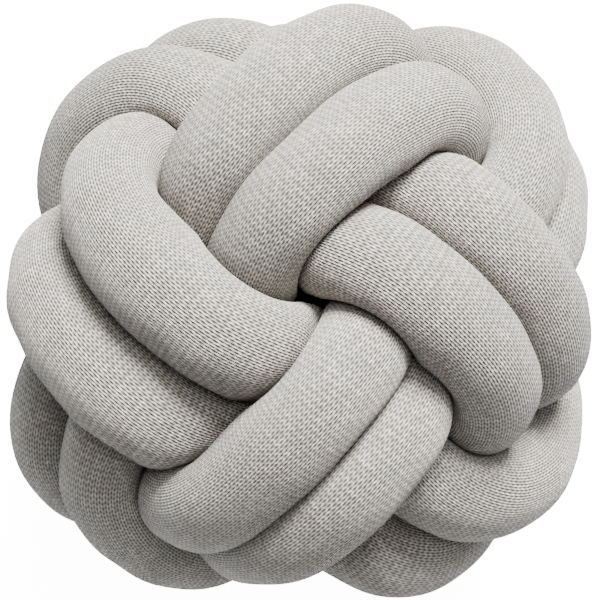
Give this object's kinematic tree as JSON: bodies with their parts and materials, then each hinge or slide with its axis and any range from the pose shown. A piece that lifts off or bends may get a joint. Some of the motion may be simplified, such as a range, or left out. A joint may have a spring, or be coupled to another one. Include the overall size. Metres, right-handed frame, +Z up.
{
  "type": "knot cushion",
  "caption": "Round knot cushion woven from stuffed knitted tubes that run side by side, over and under one another.",
  "frame": {"origin": "middle of the ball's box, on the surface that it lies on", "axes": "+Z up out of the face that the picture shows, +X to the picture's right, +Y to its top"},
  "size_m": [0.2901, 0.2954, 0.2884],
  "materials": {
    "north_knit": "pale grey mottled stocking-stitch knit",
    "east_knit": "pale grey mottled stocking-stitch knit",
    "south_knit": "pale grey mottled stocking-stitch knit",
    "west_knit": "pale grey mottled stocking-stitch knit"
  },
  "bodies": {
    "root": {"tube_north": "north_knit", "tube_east": "east_knit", "tube_south": "south_knit", "tube_west": "west_knit"}
  },
  "joints": []
}
